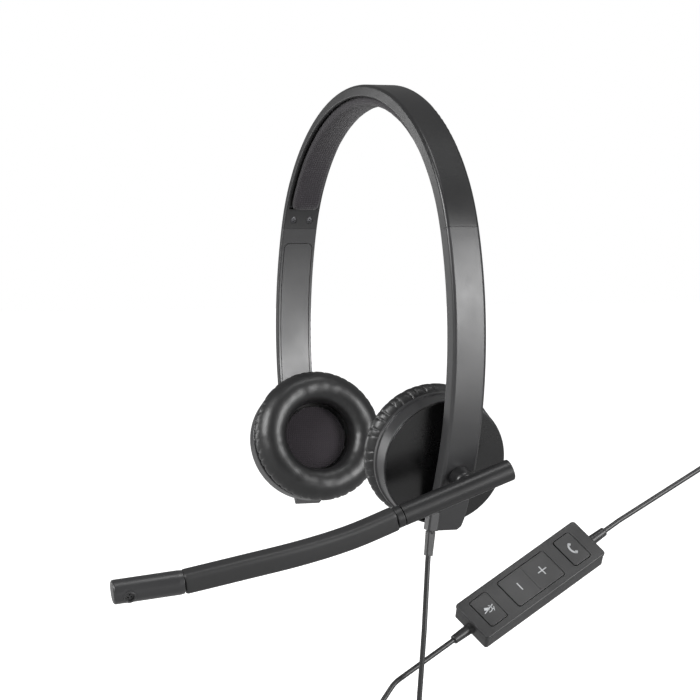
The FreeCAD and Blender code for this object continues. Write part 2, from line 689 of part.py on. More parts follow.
def make_mic_element():
    capsule = turned([(0, MIC_LENGTH - 11.5), (3.0, MIC_LENGTH - 11.5), (3.0, MIC_LENGTH - 9.2),
                      (0, MIC_LENGTH - 9.2)], [0, 0.3, 0.3, 0])
    return placed(capsule, mic_frame())


# ------------------------------------------------------------------ cable, controller, plug
def gland_block():
    """Moulded cap on the arm's lower front corner, from which the cable leaves."""
    block = rounded_face(rectangle(-2.6, 2.5, -2.4, 2.4), 0.9)
    return placed(block.extrude(Vector(0, 0, GLAND_LENGTH)), gland_frame(0.0))


def gland_frame(drop):
    """On the gland's axis, a distance down from its top; local z points down along the cable."""
    return frame_at(GLAND_TOP + Vector(GLAND_AXIS).normalize() * drop, Vector(1, 0, 0), GLAND_AXIS)


def make_cable_gland():
    """The gland's mouth is a socket for the rounded head of the strain relief."""
    socket = Part.makeSphere(BOOT_BALL + 0.08).fuse(rod(CABLE_RADIUS + 0.3, -GLAND_LENGTH, 0))
    return gland_block().cut(placed(socket, gland_frame(GLAND_LENGTH + BOOT_DROP)))


def make_cable_boot():
    place = gland_frame(GLAND_LENGTH + BOOT_DROP)
    place = frame_at(place.Base, Vector(1, 0, 0), BOOT_AXIS)
    upper = rounded_wire(rectangle(-1.7, 1.7, -1.7, 1.7), 0.5)
    lower = rounded_wire(rectangle(-1.5, 1.5, -1.5, 1.5), 0.5).translated(Vector(0, 0, BOOT_LENGTH))
    body = Part.makeLoft([upper, lower], True).fuse(Part.makeSphere(BOOT_BALL))
    return placed(body.removeSplitter(), place).cut(headset_cable_solid(CABLE_RADIUS + 0.03))


def pipe(points, bends, radius):
    """Round cable along straight runs through the points, with an arc of the given radius at each bend."""
    edges, start = [], points[0]
    for i in range(1, len(points) - 1):
        corner = points[i]
        before = (points[i - 1] - corner).normalize()
        after = (points[i + 1] - corner).normalize()
        half = math.acos(before.dot(after)) / 2
        reach = bends[i - 1] / math.tan(half)
        middle = corner + (before + after).normalize() * (bends[i - 1] / math.sin(half) - bends[i - 1])
        arc_start, arc_end = corner + before * reach, corner + after * reach
        edges.append(Part.LineSegment(start, arc_start).toShape())
        edges.append(Part.Arc(arc_start, middle, arc_end).toShape())
        start = arc_end
    edges.append(Part.LineSegment(start, points[-1]).toShape())
    ring = Part.Wire([Part.Circle(points[0], points[1] - points[0], radius).toShape()])
    return Part.Wire(edges).makePipeShell([ring], True, False)


def controller_place():
    turn = math.radians(CONTROLLER_TURN)
    climb, roll = math.radians(CONTROLLER_CLIMB), math.radians(CONTROLLER_ROLL)
    across = Vector(math.cos(turn), math.sin(turn), 0)
    length = Vector(-math.sin(turn) * math.cos(climb), math.cos(turn) * math.cos(climb), math.sin(climb))
    normal = across * math.cos(roll) + across.cross(length) * math.sin(roll)
    return frame_at(CONTROLLER_CENTRE, length, normal)


def controller_point(x, y, z):
    return controller_place().multVec(Vector(x, y, z))


def headset_cable_solid(radius):
    """From inside the arm, down past the controller, round a U and back up into the controller's low end."""
    top = gland_frame(GLAND_LENGTH + BOOT_DROP).Base
    low_end = controller_point(-CASE_LENGTH / 2 + 1.0, 0, CASE_MID_Z)
    run_end = controller_point(-CASE_LENGTH / 2 - 42.0, 0, CASE_MID_Z)
    points = [top, top + Vector(BOOT_AXIS) * 12.0, Vector(70.8, -11.8, -72.0), Vector(68.0, -14.5, -124.0),
              Vector(62.0, -38.0, -116.0), run_end, low_end]
    return pipe(points, [40.0, 60.0, 11.0, 9.0, 14.0], radius)


def make_headset_cable():
    return headset_cable_solid(CABLE_RADIUS)


def usb_cable_solid(radius):
    """From the controller's high end, over an arc and down into the plug."""
    high_end = controller_point(CASE_LENGTH / 2 - 1.0, 0, CASE_MID_Z)
    run_end = controller_point(CASE_LENGTH / 2 + 18.0, 0, CASE_MID_Z)
    points = [high_end, run_end, LEAD_CREST, Vector(PLUG_PLACE_X, PLUG_PLACE_Y, PLUG_TOP_Z + 14.0),
              Vector(PLUG_PLACE_X, PLUG_PLACE_Y, PLUG_TOP_Z - 5.0)]
    return pipe(points, [40.0, 7.0, 8.0], radius)


def case_outline(inset):
    x, y = CASE_LENGTH / 2 - inset, CASE_WIDTH / 2 - inset
    return rectangle(-x, x, -y, y)


def case_block(z0, z1, inset, corner):
    face = rounded_face(case_outline(inset), corner)
    return face.translated(Vector(0, 0, z0)).extrude(Vector(0, 0, z1 - z0))


def key_window(name, gap):
    x, length = KEYS[name]
    half_l, half_w = length / 2 + gap, KEY_WIDTH / 2 + gap
    return slab(x - half_l, x + half_l, -half_w, half_w, -2.0, CASE_TOP + 2, KEY_CORNER + gap)


def make_controller_top():
    """Face plate that overhangs the walls by a small step."""
    plate = case_block(CASE_TOP - CASE_LIP, CASE_TOP, 0, CASE_CORNER)
    edges = [e for e in plate.Edges if min(v.Z for v in e.Vertexes) > CASE_TOP - 0.01]
    plate = plate.makeFillet(0.6, edges)
    block = plate.fuse(case_block(0, CASE_TOP - CASE_LIP, CASE_STEP, CASE_CORNER - CASE_STEP))
    block = block.cut(case_block(-5, CASE_TOP - CASE_WALL, CASE_STEP + CASE_WALL, 0.8))
    for name in KEYS:
        block = block.cut(key_window(name, KEY_GAP))
    return placed(block.cut(cord_holes()), controller_place())


def cord_holes():
    """Openings for the two cords in the controller's end walls."""
    end = CASE_LENGTH / 2
    runs = ((-end - 1, -end + 3.4), (end - 3.4, end + 1))
    holes = [along_x(rod(CABLE_RADIUS + 0.05, a, b)) for a, b in runs]
    return Part.makeCompound(holes).translated(Vector(0, 0, CASE_MID_Z))


def case_wire(z, inset, corner):
    return rounded_wire(case_outline(inset), corner).translated(Vector(0, 0, z))


def make_controller_bottom():
    shoulder = -CASE_BOTTOM + CASE_BEVEL
    corner = CASE_CORNER - CASE_STEP
    bevel = Part.makeLoft([case_wire(-CASE_BOTTOM, CASE_BEVEL, 1.0), case_wire(shoulder, CASE_STEP, corner)],
                          True, True)
    block = bevel.fuse(case_block(shoulder, -0.08, CASE_STEP, corner))
    block = block.cut(case_block(-CASE_BOTTOM + CASE_WALL, 1, CASE_STEP + CASE_WALL + 0.3, 0.8))
    for x, y in CONTROLLER_SCREWS:
        block = block.fuse(rod(2.0, -CASE_BOTTOM + 0.5, -1.9, x, y))
    for x, y in CONTROLLER_SCREWS:
        block = block.cut(rod(0.8, -CASE_BOTTOM - 1, 0, x, y)).cut(rod(1.7, -CASE_BOTTOM - 1, -5.7, x, y))
    return placed(block.cut(cord_holes()), controller_place())


def make_controller_board():
    board = slab(-27.0, 27.0, -7.6, 7.6, BOARD_TOP - 1.0, BOARD_TOP, 1.0)
    return placed(board, controller_place())


def make_key_switches():
    """Tactile switches under the keys; the volume key has one under each end."""
    domes = []
    for x in [place for places in KEY_SWITCHES.values() for place in places]:
        base = slab(x - 2.2, x + 2.2, -2.2, 2.2, BOARD_TOP + 0.02, BOARD_TOP + 0.6, 0.3)
        domes.append(base.fuse(rod(1.0, BOARD_TOP + 0.5, BOARD_TOP + 0.8, x, 0)).removeSplitter())
    return placed(Part.makeCompound(domes), controller_place())


def make_key(name):
    """Key cap, a flange that keeps it under the case, and one plunger over each of its switches."""
    x, length = KEYS[name]
    half, top_z = length / 2, CASE_TOP + KEY_STAND
    cap = slab(x - half, x + half, -KEY_WIDTH / 2, KEY_WIDTH / 2, KEY_BASE, top_z, KEY_CORNER)
    top = [e for e in cap.Edges if min(v.Z for v in e.Vertexes) > top_z - 0.01]
    cap = cap.makeFillet(0.25, top)
    rim = half + KEY_FLANGE
    side = KEY_WIDTH / 2 + KEY_FLANGE
    cap = cap.fuse(slab(x - rim, x + rim, -side, side, KEY_BASE, KEY_BASE + 0.45, KEY_CORNER))
    if name == "volume_key":
        ridge = KEY_WIDTH / 2 - 1
        cap = cap.fuse(slab(x - 0.35, x + 0.35, -ridge, ridge, top_z - 0.1, top_z + 0.12))
        rib = Part.makeCylinder(ROCKER_RIB, 10.0, Vector(x, -5.0, KEY_BASE - 0.1), Y_AXIS)
        cap = cap.fuse(rib)
    for switch in KEY_SWITCHES[name]:
        cap = cap.fuse(rod(0.8, KEY_BASE - 0.15, KEY_BASE + 0.1, switch, 0))
    return placed(cap.removeSplitter(), controller_place())


def make_controller_screws():
    screws = []
    for x, y in CONTROLLER_SCREWS:
        head = rod(1.6, -6.4, -5.75, x, y)
        slot = slab(x - 1.1, x + 1.1, y - 0.2, y + 0.2, -6.5, -6.1)
        screws.append(head.fuse(rod(0.75, -5.75, -2.2, x, y)).cut(slot).removeSplitter())
    return placed(Part.makeCompound(screws), controller_place())


def make_controller_boots():
    """Strain reliefs, one at each end of the controller."""
    boots = []
    for end in (-1, 1):
        body = turned([(0, 0.05), (2.6, 0.05), (2.25, 1.6), (1.95, CASE_BOOT), (0, CASE_BOOT)],
                      [0, 0, 1.0, 0.5, 0])
        body = placed(body, Placement(ZERO, Rotation(Y_AXIS, 90 * end)))
        boots.append(body.translated(Vector(end * (CASE_LENGTH / 2 - CASE_STEP), 0, CASE_MID_Z)))
    both = placed(Part.makeCompound(boots), controller_place())
    cords = [headset_cable_solid(CABLE_RADIUS + 0.03), usb_cable_solid(CABLE_RADIUS + 0.03)]
    return Part.makeCompound([b.cut(c) for b, c in zip(both.Solids, cords)])


def plug_place():
    """Local z points out of the plug, downwards."""
    return frame_at(Vector(PLUG_PLACE_X, PLUG_PLACE_Y, PLUG_TOP_Z), Vector(1, 0, 0), Vector(0, 0, -1))


def make_usb_body():
    body = slab(-7.8, 7.8, -4.0, 4.0, 0, PLUG_BODY, 1.8)
    body = body.cut(slab(-6.1, 6.1, -2.35, 2.35, PLUG_BODY - 7.0, PLUG_BODY + 1))
    relief = turned([(0, -7.0), (2.1, -7.0), (2.8, 0.0), (0, 0.0)], [0, 0.4, 0, 0])
    body = body.fuse(relief).cut(rod(CABLE_RADIUS + 0.03, -9, 9))
    return placed(body.removeSplitter(), plug_place()).cut(usb_cable_solid(CABLE_RADIUS + 0.03))


def make_usb_shell():
    w, h = USB_WIDTH / 2, USB_HEIGHT / 2
    z0, z1 = PLUG_BODY - 6.8, PLUG_BODY + USB_LENGTH
    tube = slab(-w, w, -h, h, z0, z1, 0.5).cut(slab(-w + USB_WALL, w - USB_WALL, -h + USB_WALL, h - USB_WALL,
                                                   z0 - 1, z1 + 1, 0.2))
    for x in (-3.1, 3.1):
        tube = tube.cut(slab(x - 1.25, x + 1.25, -9, 9, z1 - 7.6, z1 - 5.1))
    return placed(tube, plug_place())


def make_usb_tongue():
    w, h = USB_WIDTH / 2 - USB_WALL - 0.03, USB_HEIGHT / 2 - USB_WALL - 0.03
    tongue = slab(-w, w, -h, -h + 1.85, PLUG_BODY - 6.7, PLUG_BODY + USB_LENGTH - 0.4, 0.3)
    return placed(tongue, plug_place())


# ------------------------------------------------------------------ build everything
def main():
    os.makedirs(OUT, exist_ok=True)
    save("headband_shell", make_headband_shell())
    save("spring_strip", make_spring_strip())
    save("band_screws", make_band_screws())
    save("pad_base", make_pad_base())
    save("head_pad", make_head_pad())
    for side, name in ((1, "left"), (-1, "right")):
        save(name + "_arm_shell", make_arm_shell(side))
        save(name + "_arm_cover", make_arm_cover(side))
        save(name + "_detent_spring", make_detent_spring(side))
        save(name + "_ball_stud", make_ball_stud(side))
        save(name + "_pivot_cage", make_pivot_cage(side))
        save(name + "_cup_shell", make_cup_shell(side))
        save(name + "_cup_disc", make_cup_disc(side))
        save(name + "_baffle", make_baffle(side))
        save(name + "_driver_frame", make_driver_frame(side))
        save(name + "_driver_magnet", make_driver_magnet(side))
        save(name + "_speaker_cloth", make_speaker_cloth(side))
        save(name + "_cushion", make_cushion(side))
        save(name + "_cup_screws", make_cup_screws(side))
    save("boom_pivot_pin", make_pivot_pin())
    save("boom_washer", make_boom_washer())
    save("boom_hub", make_boom_hub())
    save("boom_tube", make_boom_tube())
    save("boom_end_cap", make_boom_end_cap())
    save("boom_collar", make_boom_collar())
    save("boom_core", make_boom_core())
    save("sleeve_rear", make_sleeve_rear())
    save("sleeve_front", make_sleeve_front())
    save("mic_housing", make_mic_housing())
    save("mic_port_ring", make_mic_port())
    save("mic_element", make_mic_element())
    save("cable_gland", make_cable_gland())
    save("cable_boot", make_cable_boot())
    save("headset_cable", make_headset_cable())
    save("usb_cable", usb_cable_solid(CABLE_RADIUS))
    save("controller_top", make_controller_top())
    save("controller_bottom", make_controller_bottom())
    save("controller_board", make_controller_board())
    save("key_switches", make_key_switches())
    for name in KEYS:
        save(name, make_key(name))
    save("controller_screws", make_controller_screws())
    save("controller_boots", make_controller_boots())
    save("usb_body", make_usb_body())
    save("usb_shell", make_usb_shell())
    save("usb_tongue", make_usb_tongue())


main()
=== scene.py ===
import json
import math
import random

import bpy
import bmesh
from mathutils import Matrix, Vector, noise


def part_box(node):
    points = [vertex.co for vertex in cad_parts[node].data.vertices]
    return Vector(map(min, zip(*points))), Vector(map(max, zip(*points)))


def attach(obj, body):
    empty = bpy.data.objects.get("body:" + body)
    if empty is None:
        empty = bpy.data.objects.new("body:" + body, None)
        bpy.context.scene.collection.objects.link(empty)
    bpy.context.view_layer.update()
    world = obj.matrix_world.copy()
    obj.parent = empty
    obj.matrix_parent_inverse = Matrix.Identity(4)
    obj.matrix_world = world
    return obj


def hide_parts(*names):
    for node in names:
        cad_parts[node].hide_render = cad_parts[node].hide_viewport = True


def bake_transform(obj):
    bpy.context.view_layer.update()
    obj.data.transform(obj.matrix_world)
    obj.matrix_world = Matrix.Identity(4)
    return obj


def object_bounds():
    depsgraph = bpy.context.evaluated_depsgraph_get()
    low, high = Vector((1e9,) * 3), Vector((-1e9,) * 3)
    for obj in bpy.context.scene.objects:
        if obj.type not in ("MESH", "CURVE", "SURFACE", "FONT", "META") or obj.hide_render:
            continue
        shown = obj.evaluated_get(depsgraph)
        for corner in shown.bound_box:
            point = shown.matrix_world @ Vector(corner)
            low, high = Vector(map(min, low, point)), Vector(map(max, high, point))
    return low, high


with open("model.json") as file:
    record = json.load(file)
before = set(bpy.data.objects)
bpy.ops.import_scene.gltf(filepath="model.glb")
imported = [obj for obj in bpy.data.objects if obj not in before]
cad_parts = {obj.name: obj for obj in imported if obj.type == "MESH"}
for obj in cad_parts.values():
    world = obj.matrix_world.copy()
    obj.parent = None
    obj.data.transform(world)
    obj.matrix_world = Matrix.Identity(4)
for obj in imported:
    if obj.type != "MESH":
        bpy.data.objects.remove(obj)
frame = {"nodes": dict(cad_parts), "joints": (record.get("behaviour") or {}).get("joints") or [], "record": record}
cad_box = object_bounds()
NODES = frame["nodes"]
MM = 0.001

# ---- headband arch: outer face of its tangent arcs, each as radius, centre x and centre z ----
CROWN = (87.0 * MM, 0.0, 70.15 * MM)
SHOULDER = (79.9 * MM, 6.06 * MM, 73.94 * MM)
CROWN_END = 58.0             # degrees from the apex

# ---- head pad: depths are measured inwards from the arch's outer face ----
PAD_END = 66.4               # degrees from the apex
PAD_HALF_WIDTH = 6.35 * MM
PAD_BACK, PAD_FACE = 4.15 * MM, 9.3 * MM
PAD_STEPS, PAD_AROUND = 260, 40
PAD_END_RUN = 5.0 * MM       # length over which an end closes down
PAD_CROWN, PAD_SINK = 0.35 * MM, 0.2 * MM
PAD_QUILT, PAD_WANDER = 0.12 * MM, 0.15 * MM
PAD_SIDE_POWER, PAD_FACE_POWER = 0.55, 0.6           # below 1, so the section is fuller than an ellipse
PAD_END_WIDTH, PAD_END_SWELL = 0.80, 0.25            # what is left of its width and depth at the ends

# ---- cups: heights along the cup's outward axis, from the rim plane ----
DISC_MID = 9.375 * MM
CUSHION_PROFILE = [(15.8, -2.6), (15.4, -5.6), (15.2, -8.8), (16.1, -11.8), (18.4, -13.9), (21.6, -14.7),
                   (24.8, -14.1), (27.4, -12.1), (28.8, -9.5), (28.8, -6.9), (27.3, -4.4), (25.2, -2.6)]
PROFILE_STEPS = 4
PLEATS = 42
STEPS_PER_PLEAT = 8
GATHER_START, GATHER_RUN = 25.4 * MM, 2.2 * MM       # radius where the gathers begin and their fade-in
GATHER_TOP, GATHER_HEIGHT = -12.2 * MM, 6.5 * MM     # height where they begin and their fade-in
GATHER_OUT, GATHER_DOWN = 0.62 * MM, 0.22 * MM       # how far a gather swells
FOLD_HEIGHT = 0.14 * MM
CLOTH_RADIUS, CLOTH_EDGE, CLOTH_SWELL = 14.25 * MM, -3.15 * MM, 0.55 * MM
CLOTH_RINGS, CLOTH_AROUND = 26, 72
CLOTH_RIPPLE = 0.06 * MM
CUSHION_SEEDS = {"left": 11, "right": 23}
HOLE_POINTS = 3              # points at the hole's edge that the simulation leaves alone
GATHERED_SPAN = 8            # span of the profile where the gathers begin; also left alone
CLOTH_FRAMES = 20            # length of the cushion's simulation
CUSHION_SWELL = 0.6 * MM     # farthest that the simulation may move a point

# ---- boom sleeve: centre line as forward, down and outwards from the hub, in millimetres ----
BOOM_DROP = 22.0             # slope of the tube below the horizontal, degrees
SLEEVE_POINTS = [(34.5, 0.0, 10.2), (55.0, 0.0, 10.2), (76.7, -2.0, 9.6), (101.9, -5.2, 7.5),
                 (125.2, -7.85, 4.8)]
SLEEVE_HEIGHT, SLEEVE_WIDTH, SLEEVE_ROUND = 9.4 * MM, 7.6 * MM, 2.3 * MM
SLEEVE_STEPS = 24

# ---- key symbols ----
SYMBOL_STAND, SYMBOL_SINK = 0.05 * MM, 0.02 * MM
VOLUME_SIGN_X, VOLUME_SIGN_Z = 6.4 * MM, -0.12 * MM  # places of minus and plus on the volume key

# ---- camera, in metres and degrees; the azimuth turns from -Y towards +X ----
CAMERA_PLACE = Vector((1.23683, -0.60203, 0.10071))
CAMERA_AZIMUTH, CAMERA_ELEVATION = math.radians(64.5), math.radians(2.439)
CAMERA_LENS, SENSOR_WIDTH = 162.78, 36.0

# ---- floor and light ----
FLOOR_SIZE, FLOOR_GAP = 6.0, 12 * MM
FLOOR_LEVEL = cad_box[0].z - FLOOR_GAP
ROOM_LIGHT = 0.24            # what the object sees of the room; the camera sees plain white
MIDDLE = (0.03, 0, 0.03)
CUP_BACK = (0.07, 0, -0.01)
# Softboxes: name, place, target, width, height, power.
SOFTBOXES = [
    ("arm", (1.75, 0.95, 0.42), MIDDLE, 0.55, 0.9, 33),
    ("front", (0.35, -1.55, 0.85), MIDDLE, 0.6, 0.7, 28),
    ("top", (0.5, 0.1, 1.6), MIDDLE, 0.7, 0.5, 7),
    ("left", (-1.3, -1.05, 0.12), MIDDLE, 0.45, 0.9, 8),
    ("low", (0.6, 0.30, FLOOR_LEVEL + 32 * MM), CUP_BACK, 0.25, 0.1, 0.6),
]


# ------------------------------------------------------------------ node helpers
class Shader:
    """Short-hand for building one procedural material."""

    def __init__(self, name):
        self.mat = bpy.data.materials.new(name)
        self.mat.use_nodes = True
        self.tree = self.mat.node_tree
        self.bsdf = self.tree.nodes["Principled BSDF"]
        self.coords = self.add("ShaderNodeTexCoord").outputs["Object"]

    def add(self, kind, **values):
        node = self.tree.nodes.new(kind)
        for key, value in values.items():
            setattr(node, key, value)
        return node

    def link(self, a, b):
        self.tree.links.new(a, b)

    def noise(self, scale, detail=3.0, rough=0.55, coords=None):
        node = self.add("ShaderNodeTexNoise")
        node.inputs["Scale"].default_value = scale
        node.inputs["Detail"].default_value = detail
        node.inputs["Roughness"].default_value = rough
        self.link(coords or self.coords, node.inputs["Vector"])
        return node.outputs["Fac"]

    def voronoi(self, scale, feature="F1", coords=None):
        node = self.add("ShaderNodeTexVoronoi", feature=feature)
        node.inputs["Scale"].default_value = scale
        self.link(coords or self.coords, node.inputs["Vector"])
        return node.outputs["Distance"]

    def wave(self, scale, direction="X", distortion=0.0, coords=None):
        node = self.add("ShaderNodeTexWave", bands_direction=direction)
        node.inputs["Scale"].default_value = scale
        node.inputs["Distortion"].default_value = distortion
        self.link(coords or self.coords, node.inputs["Vector"])
        return node.outputs["Fac"]

    def remap(self, value, low, high, from_low=0.0, from_high=1.0):
        node = self.add("ShaderNodeMapRange")
        node.inputs["From Min"].default_value = from_low
        node.inputs["From Max"].default_value = from_high
        node.inputs["To Min"].default_value = low
        node.inputs["To Max"].default_value = high
        self.link(value, node.inputs["Value"])
        return node.outputs["Result"]

    def math(self, operation, a, b):
        node = self.add("ShaderNodeMath", operation=operation)
        for i, value in enumerate((a, b)):
            if isinstance(value, (int, float)):
                node.inputs[i].default_value = value
            else:
                self.link(value, node.inputs[i])
        return node.outputs[0]

    def mix(self, factor, dark, light):
        node = self.add("ShaderNodeMix", data_type="RGBA")
        self.link(factor, node.inputs["Factor"])
        for socket, value in ((node.inputs[6], dark), (node.inputs[7], light)):
            if isinstance(value, tuple):
                socket.default_value = (*value, 1.0)
            else:
                self.link(value, socket)
        return node.outputs[2]

    def bump(self, height, distance, strength=1.0, below=None):
        node = self.add("ShaderNodeBump")
        node.inputs["Distance"].default_value = distance
        node.inputs["Strength"].default_value = strength
        self.link(height, node.inputs["Height"])
        if below is not None:
            self.link(below, node.inputs["Normal"])
        return node.outputs["Normal"]

    def set(self, **inputs):
        names = {"color": "Base Color", "rough": "Roughness", "metal": "Metallic", "normal": "Normal",
                 "coat": "Coat Weight", "coat_rough": "Coat Roughness", "sheen": "Sheen Weight",
                 "sheen_rough": "Sheen Roughness", "spec": "Specular IOR Level", "ior": "IOR"}
        for key, value in inputs.items():
            socket = self.bsdf.inputs[names[key]]
            if isinstance(value, bpy.types.NodeSocket):
                self.link(value, socket)
            elif isinstance(value, tuple):
                socket.default_value = (*value, 1.0)
            else:
                socket.default_value = value
        return self.mat


def moulded_plastic(name, color, rough, grain=2600.0, depth=0.012, shift=0.12, coat=0.0):
    """Spark-eroded moulding texture: fine grain, a slow drift in tone and slightly polished high spots."""
    s = Shader(name)
    fine = s.noise(grain, 4.0, 0.6)
    slow = s.noise(45.0, 3.0)
    dark = tuple(c * (1 - shift) for c in color)
    light = tuple(c * (1 + shift) for c in color)
    tone = s.mix(s.math("MULTIPLY", s.math("ADD", fine, slow), 0.5), dark, light)
    gloss = s.math("ADD", s.remap(slow, rough - 0.05, rough + 0.05, 0.3, 0.7), s.remap(fine, -0.03, 0.03))
    return s.set(color=tone, rough=gloss, normal=s.bump(fine, depth * MM, 0.8), coat=coat, coat_rough=0.3)


def woven_fabric(name, dark, light, pitch, depth):
    """Plain weave: two crossed sets of threads with fuzz between them, with painted shade in the low parts of the
    weave.
    """
    s = Shader(name)
    uv = s.add("ShaderNodeTexCoord").outputs["UV"]
    split = s.add("ShaderNodeSeparateXYZ")
    s.link(uv, split.inputs[0])
    warp = s.math("SINE", s.math("MULTIPLY", split.outputs[0], math.pi / pitch), 0)
    weft = s.math("SINE", s.math("MULTIPLY", split.outputs[1], math.pi / pitch), 0)
    crossing = s.math("MULTIPLY", warp, weft)
    lift = s.remap(crossing, 0.3, 1.0, -1.0, 1.0)
    drop = s.remap(crossing, 1.0, 0.3, -1.0, 1.0)
    weave = s.math("MAXIMUM", s.math("MULTIPLY", s.math("ABSOLUTE", warp, 0), lift),
                   s.math("MULTIPLY", s.math("ABSOLUTE", weft, 0), drop))
    fuzz = s.noise(1400.0, 5.0, 0.7)
    height = s.math("ADD", weave, s.math("MULTIPLY", fuzz, 0.5))
    # Painted shade: the weave's low parts between the threads are darker and its raised crossings lighter; the
    # fuzz adds a random tone.
    tone = s.mix(s.remap(height, 0.0, 1.0, 0.2, 1.0), dark, light)
    return s.set(color=tone, rough=0.95, normal=s.bump(height, depth * MM, 0.9), sheen=0.2, sheen_rough=0.5)


def leatherette(name):
    s = Shader(name)
    cells = s.voronoi(1500.0, "DISTANCE_TO_EDGE")
    grain = s.remap(cells, 0.0, 1.0, 0.0, 0.12)
    fine = s.noise(900.0, 4.0, 0.6)
    creases = s.noise(150.0, 3.0, 0.55)
    height = s.math("ADD", s.math("MULTIPLY", grain, 0.6), s.math("MULTIPLY", fine, 0.4))
    normal = s.bump(height, 0.03 * MM, 0.5)
    normal = s.bump(creases, 0.25 * MM, 0.35, normal)
    # Painted shade: the colour follows the crease bumps, darker in their valleys and lighter on their crests.
    tone = s.mix(creases, (0.004, 0.004, 0.0042), (0.010, 0.010, 0.0105))
    return s.set(color=tone, rough=s.remap(fine, 0.34, 0.46), normal=normal, coat=0.2, coat_rough=0.35)


def steel(name, color, rough, brushed="X"):
    s = Shader(name)
    lines = s.wave(900.0, brushed, 6.0)
    speck = s.noise(700.0, 4.0)
    tone = s.mix(speck, tuple(c * 0.85 for c in color), color)
    gloss = s.remap(lines, rough - 0.06, rough + 0.06)
    return s.set(color=tone, rough=gloss, metal=1.0, normal=s.bump(lines, 0.004 * MM, 0.4))


# Dark end of both fabrics' tone, which the weave paints into its low parts as shade.
THREAD_SHADE = (0.003, 0.0025, 0.003)
MATERIALS = {
    "band_plastic": moulded_plastic("band_plastic", (0.014, 0.014, 0.0145), 0.36),
    "arm_plastic": moulded_plastic("arm_plastic", (0.026, 0.026, 0.027), 0.36),
    "carrier_plastic": moulded_plastic("carrier_plastic", (0.004, 0.004, 0.0042), 0.6),
    "cup_plastic": moulded_plastic("cup_plastic", (0.024, 0.024, 0.025), 0.30),
    "disc_plastic": moulded_plastic("disc_plastic", (0.004, 0.004, 0.0042), 0.24, grain=1800.0, depth=0.003),
    "pivot_plastic": moulded_plastic("pivot_plastic", (0.008, 0.008, 0.0085), 0.35),
    "boom_plastic": moulded_plastic("boom_plastic", (0.009, 0.009, 0.0095), 0.36),
    "boom_rubber": moulded_plastic("boom_rubber", (0.016, 0.016, 0.0165), 0.48, grain=1700.0, depth=0.02),
    "mic_plastic": moulded_plastic("mic_plastic", (0.022, 0.022, 0.023), 0.32),
    "key_print": moulded_plastic("key_print", (0.42, 0.43, 0.44), 0.5, depth=0.003, shift=0.05),
    "cable_pvc": moulded_plastic("cable_pvc", (0.016, 0.016, 0.0165), 0.4),
    "controller_plastic": moulded_plastic("controller_plastic", (0.018, 0.018, 0.0185), 0.45),
    "key_rubber": moulded_plastic("key_rubber", (0.016, 0.016, 0.0165), 0.42),
    "board_green": moulded_plastic("board_green", (0.01, 0.08, 0.03), 0.35),
    "pad_fabric": woven_fabric("pad_fabric", THREAD_SHADE, (0.020, 0.016, 0.021), 1.1 * MM, 0.25),
    "speaker_cloth": woven_fabric("speaker_cloth", THREAD_SHADE, (0.020, 0.015, 0.020), 0.9 * MM, 0.2),
    "leatherette": leatherette("leatherette"),
    "spring_steel": steel("spring_steel", (0.13, 0.13, 0.135), 0.42),
    "screw_steel": steel("screw_steel", (0.10, 0.10, 0.105), 0.3),
    "magnet_steel": steel("magnet_steel", (0.4, 0.4, 0.42), 0.3),
    "usb_metal": steel("usb_metal", (0.42, 0.42, 0.43), 0.3, "Y"),
}


def paint(obj, slot, material=None):
    obj.data.materials.clear()
    obj.data.materials.append(MATERIALS[material or slot])


for part in frame["record"]["subparts"]:
    node = NODES[part["node"]]
    paint(node, part["material_slot"])


# ------------------------------------------------------------------ mesh helpers
def place_object(name, data):
    obj = bpy.data.objects.new(name, data)
    bpy.context.scene.collection.objects.link(obj)
    return obj


def add_object(name, mesh, body, slot, material=None):
    """New painted piece that rides on a body, or on none yet."""
    obj = place_object(name, mesh)
    paint(obj, slot, material)
    if body:
        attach(obj, body)
    return obj


def smooth(mesh):
    mesh.polygons.foreach_set("use_smooth", [True] * len(mesh.polygons))
    mesh.update()


def grid_mesh(name, rows, close_rows=False, close_columns=False, uvs=None, caps=False):
    """Quad mesh over a list of equally long rows of points; either direction may be closed."""
    count, width = len(rows), len(rows[0])
    points = [p for row in rows for p in row]
    faces = []
    for i in range(count if close_rows else count - 1):
        for j in range(width if close_columns else width - 1):
            a, b = i, (i + 1) % count
            c, d = j, (j + 1) % width
            faces.append((a * width + c, a * width + d, b * width + d, b * width + c))
    if caps:
        faces.append(tuple(range(width - 1, -1, -1)))
        faces.append(tuple(range((count - 1) * width, count * width)))
    mesh = bpy.data.meshes.new(name)
    mesh.from_pydata([tuple(p) for p in points], [], faces)
    if uvs:
        layer = mesh.uv_layers.new(name="UVMap")
        flat = [uv for row in uvs for uv in row]
        for loop in mesh.loops:
            layer.data[loop.index].uv = flat[loop.vertex_index]
    fix_normals(mesh)
    smooth(mesh)
    return mesh


def fix_normals(mesh):
    bm = bmesh.new()
    bm.from_mesh(mesh)
    bmesh.ops.recalc_face_normals(bm, faces=bm.faces)
    bm.to_mesh(mesh)
    bm.free()


def spline(points, steps, closed=False):
    """Catmull-Rom curve through the points, with the given number of steps per span."""
    out, n = [], len(points)
    for i in range(n if closed else n - 1):
        p = [points[(i + k) % n] if closed else points[min(max(i + k, 0), n - 1)] for k in (-1, 0, 1, 2)]
        for step in range(steps):
            t = step / steps
            out.append(0.5 * (2 * p[1] + (p[2] - p[0]) * t + (2 * p[0] - 5 * p[1] + 4 * p[2] - p[3]) * t * t
                              + (3 * p[1] - p[0] - 3 * p[2] + p[3]) * t ** 3))
    if not closed:
        out.append(points[-1].copy())
    return out


def subdivide(obj, levels=1):
    modifier = obj.modifiers.new("subdivision", "SUBSURF")
    modifier.levels = modifier.render_levels = levels


def box_middle(node):
    low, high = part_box(node)
    return (low + high) / 2


